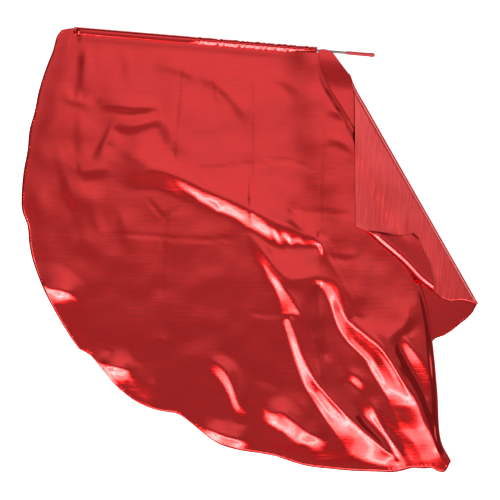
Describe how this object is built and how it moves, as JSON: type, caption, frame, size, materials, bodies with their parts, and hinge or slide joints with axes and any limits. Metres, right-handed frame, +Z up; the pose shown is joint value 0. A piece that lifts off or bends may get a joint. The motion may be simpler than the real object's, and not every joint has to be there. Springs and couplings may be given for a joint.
{
  "type": "worship flag and rod",
  "caption": "Large rounded flag of thin metallic cloth laid flat, pleated and turned back at one side, with a slim rod and dipped grip in its edge pocket.",
  "frame": {"origin": "on the surface, under the middle of the whole flag's bounding box", "axes": "+Z up from the surface, +Y towards the rod and +X towards its grip, so the long side of the flag is along X"},
  "size_m": [1.1602, 1.1308, 0.0333],
  "materials": {
    "metallic_cloth": "thin red metallic cloth with fine ribs along the rod, a satin shine and bright broken highlights along its folds",
    "rod_metal": "plain grey drawn metal, lightly worn",
    "grip_coat": "soft dipped red coating, satin"
  },
  "bodies": {
    "root": {"flag_cloth": "metallic_cloth", "rod": "rod_metal", "grip": "grip_coat"}
  },
  "joints": []
}
